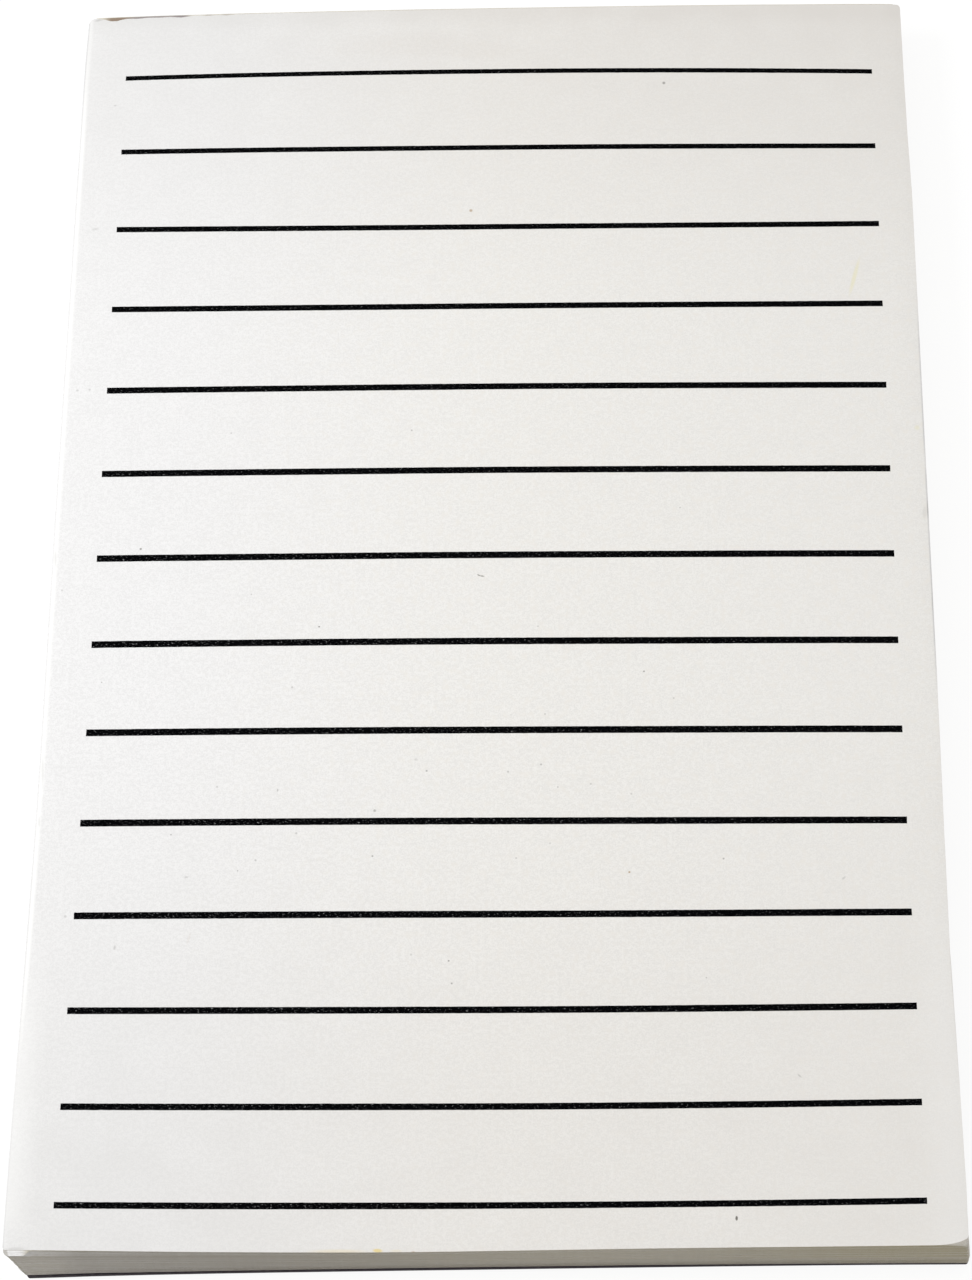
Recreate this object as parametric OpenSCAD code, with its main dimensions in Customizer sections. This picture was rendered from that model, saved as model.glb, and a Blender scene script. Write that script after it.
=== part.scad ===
// Writing pad: a pile of bold-ruled sheets gummed along one edge, on a stiff dark board.
// The origin is the middle of the board's underside, +Y points to the bound edge and +Z up.

/* [Sheets] */
// Width of a sheet
sheet_w = 139.7; // [100:0.1:220]
// Length of a sheet, from the bound edge to the loose end
sheet_l = 215.9; // [150:0.1:300]
// Thickness of the pile of sheets along the middle, near the bound edge
pile_t = 8.8; // [4:0.1:20]

/* [Set of the pile] */
// Angle through which the top sheet has been knocked round on the board
slew_deg = -0.75; // [-1.5:0.05:1.5]
// How far the top sheet hangs lower at its side edges
side_droop = 0.35; // [0:0.05:1]
// How far the loose end has sprung up at its middle
end_rise = 1.2; // [0:0.1:4]
// Further rise of the loose end's left corner
left_rise = 0.8; // [0:0.1:4]
// Further rise of the loose end's right corner
right_rise = 1.8; // [0:0.1:4]
// How far bundles of sheets have slipped out of line at the loose end
slip = 0.25; // [0:0.05:0.8]
// Thickness of a bundle of sheets that holds together
bundle_t = 0.6; // [0.4:0.05:2.5]

/* [Ruling] */
// Distance from one ruled line to the next
line_pitch = 15.2; // [8:0.1:25]
// Thickness of a ruled line
line_t = 1; // [0.4:0.1:3]
// Distance from the bound edge to the middle of the first line
head_margin = 12; // [5:0.5:40]
// Least distance from the middle of the last line to the loose end
foot_margin = 6; // [3:0.5:40]
// Clear paper to the left of the lines
left_margin = 6.9; // [2:0.1:30]
// Clear paper to the right of the lines
right_margin = 5.8; // [2:0.1:30]
// Thickness of the printed ink
ink_t = 0.1; // [0.02:0.01:0.2]

/* [Backing board] */
// Thickness of the board
board_t = 1.2; // [0.5:0.1:3]

/* [Binding] */
// Thickness of the gum brushed over the bound edge
gum_t = 0.3; // [0.1:0.05:1]

/* [Hidden] */

// Parts into which the length of a ruled line is divided to follow the bend of the sheet
line_parts = 8;
// Power of the curve along which the loose end springs up
rise_power = 3;
// Turn from one bundle's slip to the next, the angle of a seed head
slip_turn = 137.5;

bundles = ceil(pile_t / bundle_t);
half_w = sheet_w / 2;
half_l = sheet_l / 2;
line_left = left_margin - half_w;
line_right = half_w - right_margin;
line_n = floor((sheet_l - head_margin - foot_margin) / line_pitch) + 1;

// The sheet is a grid: rows run on both edges of every ruled line and on the sheet's two ends
line_ys = [for (i = [0 : line_n - 1]) half_l - head_margin - i * line_pitch];
rows = [half_l, for (y = line_ys) each [y + line_t / 2, y - line_t / 2], -half_l];
// Columns run along the two sides, at both line ends and between them
line_xs = [for (k = [0 : line_parts]) line_left + (line_right - line_left) * k / line_parts];
columns = [-half_w, each line_xs, half_w];
row_last = len(rows) - 1;
column_last = len(columns) - 1;

// Share of the way across from the middle to a side, and down from the bound edge to the loose end
function across_share(x) = x / half_w;
function down_share(y) = (half_l - y) / sheet_l;

// Height of the top sheet over the table
function corner_rise(u) = (u < 0 ? left_rise : right_rise) * u * u;
function top_z(x, y) =
    let (u = across_share(x), sprung_share = pow(down_share(y), rise_power))
    board_t + pile_t - side_droop * u * u + sprung_share * (end_rise + corner_rise(u));

// Slip of a bundle's edge at the loose end; the lowest and the top sheet lie true
function bundle_slip(j) =
    j == 0 || j == bundles ? [0, 0] : slip * [sin(j * slip_turn), cos(j * slip_turn)];

// Point of the sheet that lies on top of bundle j, slewed with its height in the pile
function sheet_point(x, y, j) =
    let (height_share = j / bundles,
         turn = slew_deg * height_share,
         moved = [x, y] + down_share(y) * bundle_slip(j))
    [moved.x * cos(turn) - moved.y * sin(turn),
     moved.x * sin(turn) + moved.y * cos(turn),
     board_t + height_share * (top_z(x, y) - board_t)];

// Two triangles of a four-cornered face, split along its first diagonal
function quad(a, b, c, d) = [[a, b, c], [a, c, d]];

// Faces of a strip or sheet of cells, where at(i, k) gives the index of a grid point
function cells(at, i_n, k_n) =
    [for (i = [0 : i_n - 1], k = [0 : k_n - 1])
        each quad(at(i, k), at(i + 1, k), at(i + 1, k + 1), at(i, k + 1))];

// The same faces turned over, on the same diagonals
function turned(faces) = [for (f = faces) [f[0], f[2], f[1]]];

// Faces all round a box-like block of points that has i_n by j_n by k_n cells
function block_faces(at, i_n, j_n, k_n) = [
    each cells(function (i, k) at(i, j_n, k), i_n, k_n),
    each turned(cells(function (i, k) at(i, 0, k), i_n, k_n)),
    each cells(function (j, k) at(0, j, k), j_n, k_n),
    each turned(cells(function (j, k) at(i_n, j, k), j_n, k_n)),
    each cells(function (i, j) at(i, j, 0), i_n, j_n),
    each turned(cells(function (i, j) at(i, j, k_n), i_n, j_n)),
];

// Solid whose point (i, j, k) is point_at(i, j, k)
module block(point_at, i_n, j_n, k_n) {
    at = function (i, j, k) (i * (j_n + 1) + j) * (k_n + 1) + k;
    polyhedron(
        points = [for (i = [0 : i_n], j = [0 : j_n], k = [0 : k_n]) point_at(i, j, k)],
        faces = block_faces(at, i_n, j_n, k_n));
}

// Stiff card, cut to the size of the sheets
module backing_board() {
    color([0.17, 0.15, 0.17])
        linear_extrude(board_t)
            square([sheet_w, sheet_l], center = true);
}

// All the sheets as one pile that has sprung up at the loose end and been knocked out of square
module page_block() {
    color([0.93, 0.92, 0.9])
        block(function (i, j, k) sheet_point(columns[i], rows[k], j), column_last, bundles, row_last);
}

// Gum film on the bound edge, over the board's edge and the whole pile
module binding_gum() {
    color([0.82, 0.76, 0.62])
        block(function (i, j, k) gum_point(i, j, k), column_last, bundles + 1, 1);
}

// Film point: level 0 is the board's lower edge, and k is 0 on the outer face and 1 on the sheets
function gum_point(i, level, k) =
    let (j = max(level - 1, 0),
         seat = sheet_point(columns[i], half_l, j),
         turn = slew_deg * j / bundles)
    [seat.x - (1 - k) * gum_t * sin(turn),
     seat.y + (1 - k) * gum_t * cos(turn),
     level == 0 ? 0 : seat.z];

// Bold printed lines, each laid on its own strip of the top sheet's grid
module ruled_lines() {
    color([0.06, 0.06, 0.06])
        for (line = [0 : line_n - 1])
            block(function (i, j, k)
                    sheet_point(line_xs[i], rows[1 + 2 * line + k], bundles) + [0, 0, j * ink_t],
                line_parts, 1, 1);
}

backing_board();
page_block();
binding_gum();
ruled_lines();
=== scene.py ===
import math
import bpy
import numpy as np
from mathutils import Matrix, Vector


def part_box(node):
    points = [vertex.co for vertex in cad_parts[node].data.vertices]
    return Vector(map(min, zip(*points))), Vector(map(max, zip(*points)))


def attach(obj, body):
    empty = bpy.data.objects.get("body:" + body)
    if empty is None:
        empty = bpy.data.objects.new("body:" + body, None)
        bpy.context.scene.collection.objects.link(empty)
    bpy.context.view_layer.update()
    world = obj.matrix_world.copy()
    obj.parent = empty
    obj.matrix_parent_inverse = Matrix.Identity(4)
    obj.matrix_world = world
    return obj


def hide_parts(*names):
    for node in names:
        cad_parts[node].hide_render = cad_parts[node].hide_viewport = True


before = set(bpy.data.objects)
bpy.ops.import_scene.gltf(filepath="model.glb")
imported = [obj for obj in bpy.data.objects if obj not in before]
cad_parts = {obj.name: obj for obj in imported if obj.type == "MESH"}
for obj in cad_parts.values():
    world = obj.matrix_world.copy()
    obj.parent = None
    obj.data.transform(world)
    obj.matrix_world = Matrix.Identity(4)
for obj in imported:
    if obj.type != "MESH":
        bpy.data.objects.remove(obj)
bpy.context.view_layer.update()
mm = 0.001

# the sheets are cut to the board, and everything else follows from its box
boardLow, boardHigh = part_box("backing_board")
halfWidth = (boardHigh.x - boardLow.x) / 2
halfLength = (boardHigh.y - boardLow.y) / 2
boardTop = boardHigh.z

# how the pile lies: knocked round on the board, sprung up at the loose end
lie = {
    "pileThickness": 8.8 * mm,
    "slew": math.radians(-0.75),
    "sideDroop": 0.35 * mm,
    "headDroop": 0.55 * mm,     # the bound edge is lower at its two ends
    "headDroopPower": 12,
    "endRise": 1.2 * mm,
    "leftRise": 0.8 * mm,
    "rightRise": 1.8 * mm,
    "risePower": 3,
    "edgeRoll": 0.13 * mm,      # cut edges turn down a little, the loose end by a share of that
    "edgeRollReach": 1.6 * mm,
    "endRollShare": 0.5,
    "cockle": 0.03 * mm,        # slack waves in the top sheets, and slanting ones across them
    "waveLengths": (19 * mm, 27 * mm),
    "waveStarts": (0.8, 0.3),
    "slantLengths": (11 * mm, 34 * mm),
    "slantStart": 2.1,
    "slantShare": 0.6,
    "loosePower": 4,            # how fast both fade from the top sheet downwards
    "sheetCount": 90,
    "sheetThickness": 0.086 * mm,
    "seed": 11,
}


def smooth(value):
    held = np.clip(value, 0, 1)
    return held * held * (3 - 2 * held)


def rising(value, start):
    # from nothing at start to all at 1
    return smooth((value - start) / (1 - start))


def downShare(y):
    return (halfLength - y) / (2 * halfLength)


def pileHeight(x, y):
    across = x / halfWidth
    corner = np.where(across < 0, lie["leftRise"], lie["rightRise"]) * across ** 2
    sprung = downShare(y) ** lie["risePower"] * (lie["endRise"] + corner)
    droop = lie["sideDroop"] + lie["headDroop"] * np.clip(1 - downShare(y), 0, 1) ** lie["headDroopPower"]
    return lie["pileThickness"] - droop * across ** 2 + sprung


def looseSurface(x, y):
    # waves and turned-down edges, which only the upper sheets show
    lengthX, lengthY = lie["waveLengths"]
    startX, startY = lie["waveStarts"]
    slantX, slantY = lie["slantLengths"]
    waves = np.sin(x / lengthX + startX) * np.sin(y / lengthY + startY)
    waves = waves + lie["slantShare"] * np.sin(x / slantX - y / slantY + lie["slantStart"])
    fromSide = halfWidth - np.abs(x)
    fromEnd = halfLength + y
    reach = lie["edgeRollReach"]
    roll = np.exp(-fromSide / reach) + lie["endRollShare"] * np.exp(-fromEnd / reach)
    return lie["cockle"] * waves - lie["edgeRoll"] * roll


def slewed(x, y, share):
    turn = lie["slew"] * share
    return x * np.cos(turn) - y * np.sin(turn), x * np.sin(turn) + y * np.cos(turn)


# modelling helpers
softAngle = math.radians(40)    # edges sharper than this stay crisp


def selectOnly(piece):
    bpy.ops.object.select_all(action="DESELECT")
    piece.select_set(True)
    bpy.context.view_layer.objects.active = piece


def useModifier(piece, kind, **settings):
    selectOnly(piece)
    modifier = piece.modifiers.new(kind, kind)
    for key, value in settings.items():
        setattr(modifier, key, value)
    bpy.ops.object.modifier_apply(modifier=kind)


def addGrid(name, columns, rows):
    bpy.ops.object.select_all(action="DESELECT")
    bpy.ops.mesh.primitive_grid_add(x_subdivisions=columns, y_subdivisions=rows, size=1)
    piece = bpy.context.object
    piece.name = name
    piece.data.name = name
    return piece


def readPoints(piece):
    flat = np.empty(3 * len(piece.data.vertices))
    piece.data.vertices.foreach_get("co", flat)
    return flat.reshape(-1, 3)


def writePoints(piece, x, y, z):
    piece.data.vertices.foreach_set("co", np.stack([x, y, z], 1).reshape(-1))
    piece.data.update()


def pointValue(piece, name, values):
    attribute = piece.data.attributes.new(name, "FLOAT", "POINT")
    attribute.data.foreach_set("value", np.asarray(values, np.float32))


def settle(piece, slot, *nodes):
    # normals out, soft shading, and its place in the frame
    selectOnly(piece)
    bpy.ops.object.mode_set(mode="EDIT")
    bpy.ops.mesh.select_all(action="SELECT")
    bpy.ops.mesh.normals_make_consistent(inside=False)
    bpy.ops.object.mode_set(mode="OBJECT")
    bpy.ops.object.shade_smooth_by_angle(angle=softAngle)
    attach(piece, "root")
    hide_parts(*nodes)
    print("made", piece.name, "with", len(piece.data.polygons), "faces")


def gradedStops(half, lowSteps, highSteps, spacing):
    # grid lines that crowd towards both edges
    first = lowSteps[-1] - half
    last = half - highSteps[-1]
    middle = np.linspace(first, last, round((last - first) / spacing) + 1)
    low = [step - half for step in lowSteps[:-1]]
    high = [half - step for step in reversed(highSteps[:-1])]
    return np.array(low + list(middle) + high)


def slabGrid(name, columnCount, rowCount, thickness, copies=1):
    # a flat slab on the unit grid, copied upwards, with the column, row, copy and side of each point
    piece = addGrid(name, columnCount, rowCount)
    flat = readPoints(piece)
    columns = np.rint((flat[:, 0] + 0.5) * columnCount).astype(int)
    rows = np.rint((flat[:, 1] + 0.5) * rowCount).astype(int)
    useModifier(piece, "SOLIDIFY", thickness=thickness, offset=-1)
    if copies > 1:
        useModifier(piece, "ARRAY", count=copies, use_relative_offset=False, use_constant_offset=True,
                    constant_offset_displace=(0, 0, 2 * thickness))
    copy = np.repeat(np.arange(copies), 2 * len(flat))
    upper = np.tile(np.repeat([True, False], len(flat)), copies)
    return piece, np.tile(columns, 2 * copies), np.tile(rows, 2 * copies), copy, upper


def roundCorner(x, y, radiusX, radiusY, sideX, sideY):
    # the square corner of a grid drawn in to a quarter of an oval
    a = (sideX * x - (halfWidth - radiusX)) / radiusX
    b = (sideY * y - (halfLength - radiusY)) / radiusY
    inside = (a > 0) & (b > 0)
    a = np.clip(a, 0, 1)
    b = np.clip(b, 0, 1)
    arcX = sideX * (halfWidth - radiusX + radiusX * a * np.sqrt(1 - b * b / 2))
    arcY = sideY * (halfLength - radiusY + radiusY * b * np.sqrt(1 - a * a / 2))
    return np.where(inside, arcX, x), np.where(inside, arcY, y)


# the sheets
sheets = {
    # grid lines by their distance from an edge, in millimetres
    "pileLeft": [0, 0.3, 0.7, 1.3, 2.2, 2.8, 3.3, 3.8, 4.6, 6.5, 11],
    "pileRight": [0, 0.3, 0.8, 1.5, 2.4, 4, 5.6],
    "pileEnds": [0, 0.25, 0.6, 1.1, 2, 4],
    "topEdges": [0, 0.15, 0.35, 0.6, 0.9, 1.25, 1.7, 2.4, 3.2, 4],
    "pileSpacing": 20 * mm,
    "topSpacing": 1.6 * mm,
    # how the sheets lie on one another
    "gapSpread": (0.6, 1),
    "looseGapChance": 0.12,
    "looseGapWeight": 2.6,
    "bundleSlip": (0.05 * mm, 0.02 * mm),
    "sheetSlip": 0.01 * mm,
    "looseFrom": 0.6,           # the loose part begins this share of the way down
    # worn corners; Even is the share of a wear that all the sheets have alike
    "wearSpread": (0.75, 1.2),
    "nearLeftWear": 0.6 * mm,
    "nearRightLow": 0.35 * mm,
    "nearRightTop": (5.2 * mm, 1.35 * mm),  # the top sheets have a long shallow wear there
    "rubbedFrom": 0.88,
    "rubbedPower": 1.7,
    "farLeftWear": 1.35 * mm,
    "farLeftEven": 0.6,
    "farRightWear": 0.75 * mm,
    "farRightEven": 0.8,
    "rightSplay": 0.09 * mm,    # bundles out of line at the near right corner
    "splaySpread": (-1, 0.4),
    "splayAcross": 0.5,
    "splayDown": 0.8,
    "leftFlare": 0.62 * mm,     # the loose end has splayed to both sides
    "rightFlare": 0.42 * mm,
    "lowFlare": (0.42 * mm, 0.61 * mm),     # on the left: the lowest sheet, and the growth upwards
    "flareFrom": 0.86,          # the sheets above have drawn in again
    # how far the right side is cut in, at shares of the way down from the bound edge
    "rightTrimDown": [0, 0.06, 0.115, 0.17, 0.58, 0.7, 0.8, 0.88, 0.96, 1],
    "rightTrim": [0.48, 0.42, 0.3, 0.04, 0, 0.22, 0.45, 0.22, 0.09, 0.25],
    # and how far the left side stands out
    "leftStandDown": [0, 0.05, 0.45, 0.7],
    "leftStand": [0.08, 0.25, 0.25, 0],
    "sideCutReach": 0.07,
    "headWedge": (0.95 * mm, 0.65 * mm),    # the bound edge keeps to the board in spite of the slew
    "headWedgeReach": 0.05,
    "footBow": 0.56 * mm,       # the loose end bulges left of its middle
    "footBowMiddle": -0.3,
    "footBowReach": (0.75, 0.5),
    "footBowFrom": 0.965,
    "footLean": 0.5 * mm,       # the lower sheets stand out at the loose end, less so in the middle
    "footHollow": 0.3 * mm,
    "footHollowPower": 4,
    "footHollowTilt": 0.3,
    "footLeanRight": (0.22, 0.25 * mm),     # from here on across they stand out further
    "footLeanLeft": (0.5, 0.3, 0.08 * mm),  # and from here over this reach less
    # how far the near right corner swells, at shares of the height of the pile, in millimetres
    "bulgeHeight": [0, 0.15, 0.35, 0.6, 0.8, 1],
    "bulge": [0.1, 0.17, 0.2, 0.13, 0.04, 0],
    "bulgeFrom": 0.975,
    "fanFrom": 0.79,            # the near left corner of these upper sheets has fanned out
    "fanLong": (0.22 * mm, 17 * mm),
    "fanDepth": 6 * mm,         # how far in from the loose end it begins
    "fanLift": 0.22 * mm,
    "fanLiftReach": 34 * mm,
    "fanParting": 0.015,
    "tipFrom": 0.966,           # the last few sheets under the top one have fanned out much more
    "tipOut": 0.69 * mm,
    "tipReach": (3.9 * mm, 0.4 * mm, 1.1 * mm),     # lowest sheet, growth to the top one, fade
    "tipAside": 0.27,           # they have swung in from the left side by this share
    "tipAsideReach": 6 * mm,
    # how strong the painted highlight on the fanned edges is, at millimetres from the left side
    "highlightAlong": [0, 3.1, 3.6, 4, 4.5, 5.1, 6, 7.2, 8.7, 10.5],
    "highlightStrength": [0.8, 0.8, 0.72, 0.52, 0.4, 0.3, 0.25, 0.15, 0.05, 0],
}

random = np.random.default_rng(lie["seed"])
sheetCount = lie["sheetCount"]
gapWeights = random.uniform(*sheets["gapSpread"], sheetCount)
bundleStarts = random.random(sheetCount) < sheets["looseGapChance"]
gapWeights[bundleStarts] *= sheets["looseGapWeight"]
gapShares = np.cumsum(gapWeights) / gapWeights.sum()
bundleOf = np.cumsum(bundleStarts)
bundleSlips = random.uniform(-1, 1, (bundleOf[-1] + 1, 2)) * sheets["bundleSlip"]
slips = bundleSlips[bundleOf] + random.normal(0, 1, (sheetCount, 2)) * sheets["sheetSlip"]
splays = random.uniform(*sheets["splaySpread"], bundleOf[-1] + 1)[bundleOf] * sheets["rightSplay"]
slips[-1] = 0
splays[-1] = 0
wearOfSheet = random.uniform(*sheets["wearSpread"], sheetCount)
toneOfSheet = random.uniform(0, 1, sheetCount)


def fanLift(x, y, share):
    away = np.hypot(x + halfWidth, y + halfLength)
    parted = smooth((share - sheets["fanFrom"]) / sheets["fanParting"])
    return sheets["fanLift"] * parted * smooth(1 - away / sheets["fanLiftReach"])


def fanStep(share, start):
    return np.where(share >= start, (1 - share) / (1 - start), 0)


def atFoot(y):
    return smooth(1 - (y + halfLength) / sheets["fanDepth"])


# the share of the painted highlight on the fanned edges at the near left corner
def fanHighlightShare(x, y, share):
    fanned = (share >= sheets["fanFrom"]) & (share < 1)
    clean = np.interp((x + halfWidth) / mm, sheets["highlightAlong"], sheets["highlightStrength"])
    return np.where(fanned, clean, 0) * atFoot(y)


def fanOut(x, y, share):
    # the lowest sheet of the fanned corner stands out furthest
    along = x + halfWidth
    depth, length = sheets["fanLong"]
    reach, more, fade = sheets["tipReach"]
    spread = fanStep(share, sheets["fanFrom"]) * depth * np.exp(-along / length)
    tip = fanStep(share, sheets["tipFrom"])
    spread += tip * sheets["tipOut"] * smooth((reach + more * (1 - tip) - along) / fade)
    return spread * atFoot(y)


def footHollow(across):
    even = 1 - across ** sheets["footHollowPower"]
    return sheets["footHollow"] * even * (1 - sheets["footHollowTilt"] * across)


def sideCut(x, y, side, places, amounts):
    # wavering of a cut side, which ends a few millimetres in from it
    amount = np.interp(downShare(y), sheets[places], sheets[amounts]) * mm
    return amount * rising(side * x / halfWidth, 1 - sheets["sideCutReach"])


def rightCut(x, y):
    return sideCut(x, y, 1, "rightTrimDown", "rightTrim")


def swell(x, y, share):
    amount = np.interp(share, sheets["bulgeHeight"], sheets["bulge"]) * mm
    amount = amount * rising(x / halfWidth, 1 - sheets["sideCutReach"])
    return amount * rising(downShare(y), sheets["bulgeFrom"])


def sideFlare(x, share):
    across = x / halfWidth
    lowest, growth = sheets["lowFlare"]
    left = np.where(share >= sheets["flareFrom"], sheets["leftFlare"], lowest + growth * share)
    return np.where(x < 0, left, sheets["rightFlare"] * share) * across ** 3 * np.abs(across)


def footBow(across, down):
    aside = across - sheets["footBowMiddle"]
    reach = np.where(aside < 0, *sheets["footBowReach"])
    return sheets["footBow"] * np.exp(-(aside / reach) ** 2) * rising(down, sheets["footBowFrom"])


def footLean(across):
    start, growth = sheets["footLeanRight"]
    lean = sheets["footLean"] - footHollow(across) + growth * np.clip(across - start, 0, 1)
    start, reach, loss = sheets["footLeanLeft"]
    return lean - loss * smooth((-across - start) / reach)


def outline(x, y, share):
    # where the cut edges lie, apart from the plain rectangle
    down = downShare(y)
    across = x / halfWidth
    loose = rising(down, sheets["looseFrom"])
    trim = rightCut(x, y) + sideCut(x, y, -1, "leftStandDown", "leftStand")
    wedgeMiddle, wedgeGrowth = sheets["headWedge"]
    wedge = (wedgeMiddle + wedgeGrowth * across) * smooth(1 - down / sheets["headWedgeReach"])
    outX = x + sideFlare(x, share) * loose - trim + swell(x, y, share)
    outY = y + (wedge - footBow(across, down)) * share - footLean(across) * (1 - share) * loose
    return outX, outY


def writingHeight(x, y):
    return boardTop + pileHeight(x, y) + looseSurface(x, y) + fanLift(x, y, 1.0)


def placeSheets(piece, x, y, number, upper):
    # number is the sheet's place in the pile, counted from the board
    share = (number + 1) / sheetCount
    wear = wearOfSheet[number]
    low = sheets["nearRightLow"] * wear
    rubbedFrom = sheets["rubbedFrom"]
    rubbed = np.clip((share - rubbedFrom) / (1 - rubbedFrom), 0, 1) ** sheets["rubbedPower"]
    ovalX, ovalY = (low + (size - low) * rubbed for size in sheets["nearRightTop"])
    x, y = roundCorner(x, y, ovalX, ovalY, 1, -1)
    even = sheets["farLeftEven"]
    farLeft = sheets["farLeftWear"] * (even + (1 - even) * share)
    x, y = roundCorner(x, y, farLeft, farLeft, -1, 1)
    nearLeft = sheets["nearLeftWear"] * wear
    x, y = roundCorner(x, y, nearLeft, nearLeft, -1, -1)
    even = sheets["farRightEven"]
    farRight = sheets["farRightWear"] * (even + (1 - even) * wear)
    x, y = roundCorner(x, y, farRight, farRight, 1, 1)
    spare = pileHeight(x, y) - sheetCount * lie["sheetThickness"]
    z = boardTop + (number + upper) * lie["sheetThickness"] + gapShares[number] * spare
    z += looseSurface(x, y) * share ** lie["loosePower"] + fanLift(x, y, share)
    down = downShare(y)
    splay = splays[number] * rising(x / halfWidth, sheets["splayAcross"])
    splay *= rising(down, sheets["splayDown"])
    outX, outY = outline(x, y, share)
    fanned = fanOut(x, y, share)
    aside = sheets["tipAside"] * fanned * smooth(1 - (x + halfWidth) / sheets["tipAsideReach"])
    outX = outX + slips[number, 0] * down + aside
    outY = outY + slips[number, 1] * down - fanned - splay
    writePoints(piece, *slewed(outX, outY, share), z)
    pointValue(piece, "sheetTone", toneOfSheet[number])
    pointValue(piece, "sheetShare", share)
    pointValue(piece, "fanHighlight", fanHighlightShare(x, y, share))
    pointValue(piece, "fromLeft", (x + halfWidth) / mm)


def stops(half, low, high, spacing):
    lowSteps = [step * mm for step in sheets[low]]
    highSteps = [step * mm for step in sheets[high]]
    return gradedStops(half, lowSteps, highSteps, sheets[spacing])


pileColumns = stops(halfWidth, "pileLeft", "pileRight", "pileSpacing")
pileRows = stops(halfLength, "pileEnds", "pileEnds", "pileSpacing")
sheetPile, columns, rows, number, upper = slabGrid(
    "sheet_pile", len(pileColumns) - 1, len(pileRows) - 1, lie["sheetThickness"], sheetCount - 1)
placeSheets(sheetPile, pileColumns[columns], pileRows[rows], number, upper)
settle(sheetPile, "paper", "page_block")

topColumns = stops(halfWidth, "topEdges", "topEdges", "topSpacing")
topRows = stops(halfLength, "topEdges", "topEdges", "topSpacing")
topSheet, columns, rows, number, upper = slabGrid(
    "top_sheet", len(topColumns) - 1, len(topRows) - 1, lie["sheetThickness"])
placeSheets(topSheet, topColumns[columns], topRows[rows], number + sheetCount - 1, upper)
settle(topSheet, "paper", "page_block")

# the bold ruling, printed on the top sheet
ruling = {
    "pitch": 15.2 * mm,
    "thickness": 1.05 * mm,
    "acrossStops": [-0.5, -0.4, 0.4, 0.5],  # grid lines across a line, in shares of its thickness
    "heaviest": (7, 1.1),       # the line with most ink, and how much thicker it is
    "inkLoss": 0.0051,          # and what each line away from it loses, by the square
    "headMargin": 12 * mm,
    "leftMargin": 6.9 * mm,
    "rightMargin": 5.8 * mm,
    "count": 14,
    "inkThickness": 0.012 * mm,
    "inkLift": 0.3,             # clear of the paper by this share of its thickness
    "step": 0.6 * mm,
    "edgeWander": 0.008 * mm,
    # how far each line lies above its even place at its left, middle and right, in millimetres
    "drift": [(-0.28, 0.18, -0.24), (0.11, 0.14, 0.04), (0.08, -0.16, 0.03), (-0.05, -0.12, -0.04),
              (-0.09, 0.02, -0.07), (-0.19, -0.08, -0.18), (-0.2, -0.09, -0.22), (-0.12, 0.02, -0.18),
              (-0.08, 0, -0.24), (-0.07, -0.03, -0.3), (-0.08, -0.08, -0.16), (-0.09, -0.15, 0.02),
              (0.07, -0.03, 0.22), (0.2, 0.13, 0.38)],
}

lineLength = 2 * halfWidth - ruling["leftMargin"] - ruling["rightMargin"]
lineSteps = round(lineLength / ruling["step"])
lineStops = np.linspace(0, lineLength, lineSteps + 1) - halfWidth + ruling["leftMargin"]
acrossStops = np.array(ruling["acrossStops"]) * ruling["thickness"]
heaviest, heavyBy = ruling["heaviest"]
lineWeights = heavyBy - ruling["inkLoss"] * (np.arange(ruling["count"]) - heaviest) ** 2
ruledLines, columns, rows, number, upper = slabGrid(
    "ruled_lines_ink", lineSteps, len(acrossStops) - 1, ruling["inkThickness"], ruling["count"])
wander = random.normal(0, ruling["edgeWander"], (ruling["count"], lineSteps + 1, len(acrossStops)))
x = lineStops[columns] + wander[number, 0, rows] * (columns == 0)
x += wander[number, 1, rows] * (columns == lineSteps)
y = halfLength - ruling["headMargin"] - number * ruling["pitch"]
y += acrossStops[rows] * lineWeights[number]
y += wander[number, columns, rows] * ((rows == 0) | (rows == len(acrossStops) - 1))
driftLeft, driftMiddle, driftRight = (np.array(ruling["drift"]) * mm)[number].T
along = 2 * columns / lineSteps - 1
y += driftMiddle + (driftRight - driftLeft) / 2 * along
y += ((driftLeft + driftRight) / 2 - driftMiddle) * along ** 2
z = writingHeight(x, y) + ruling["inkThickness"] * (ruling["inkLift"] + upper)
writePoints(ruledLines, *slewed(*outline(x, y, 1.0), 1.0), z)
settle(ruledLines, "line_ink", "ruled_lines")

# the stiff board under the pile
board = {
    "edges": [0, 0.05, 0.12, 0.22, 0.4],    # grid lines by their distance from an edge, in millimetres
    "spacing": 9 * mm,
    "cornerRadius": 0.4 * mm,
    "edgeSoftness": 0.1 * mm,
    "edgeSegments": 2,
    "edgeAngle": math.radians(60),
    "standFoot": 0.6 * mm,      # how far it stands out past the cut size at the loose end
    "standFrom": 0.9,
}

boardEdges = [step * mm for step in board["edges"]]
boardColumns = gradedStops(halfWidth, boardEdges, boardEdges, board["spacing"])
boardRows = gradedStops(halfLength, boardEdges, boardEdges, board["spacing"])
backingBoard, columns, rows, number, upper = slabGrid(
    "board_with_painted_shade", len(boardColumns) - 1, len(boardRows) - 1, boardTop)
x = boardColumns[columns]
y = boardRows[rows]
for sideX, sideY in ((-1, -1), (-1, 1), (1, -1), (1, 1)):
    x, y = roundCorner(x, y, board["cornerRadius"], board["cornerRadius"], sideX, sideY)
stand = (board["standFoot"] - footHollow(x / halfWidth)) * rising(downShare(y), board["standFrom"])
x = x - rightCut(x, y) + swell(x, y, 0)
writePoints(backingBoard, x, y - stand, np.where(upper, boardTop, 0))
useModifier(backingBoard, "BEVEL", width=board["edgeSoftness"], segments=board["edgeSegments"],
            limit_method="ANGLE", angle_limit=board["edgeAngle"])
settle(backingBoard, "board", "backing_board")

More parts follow.
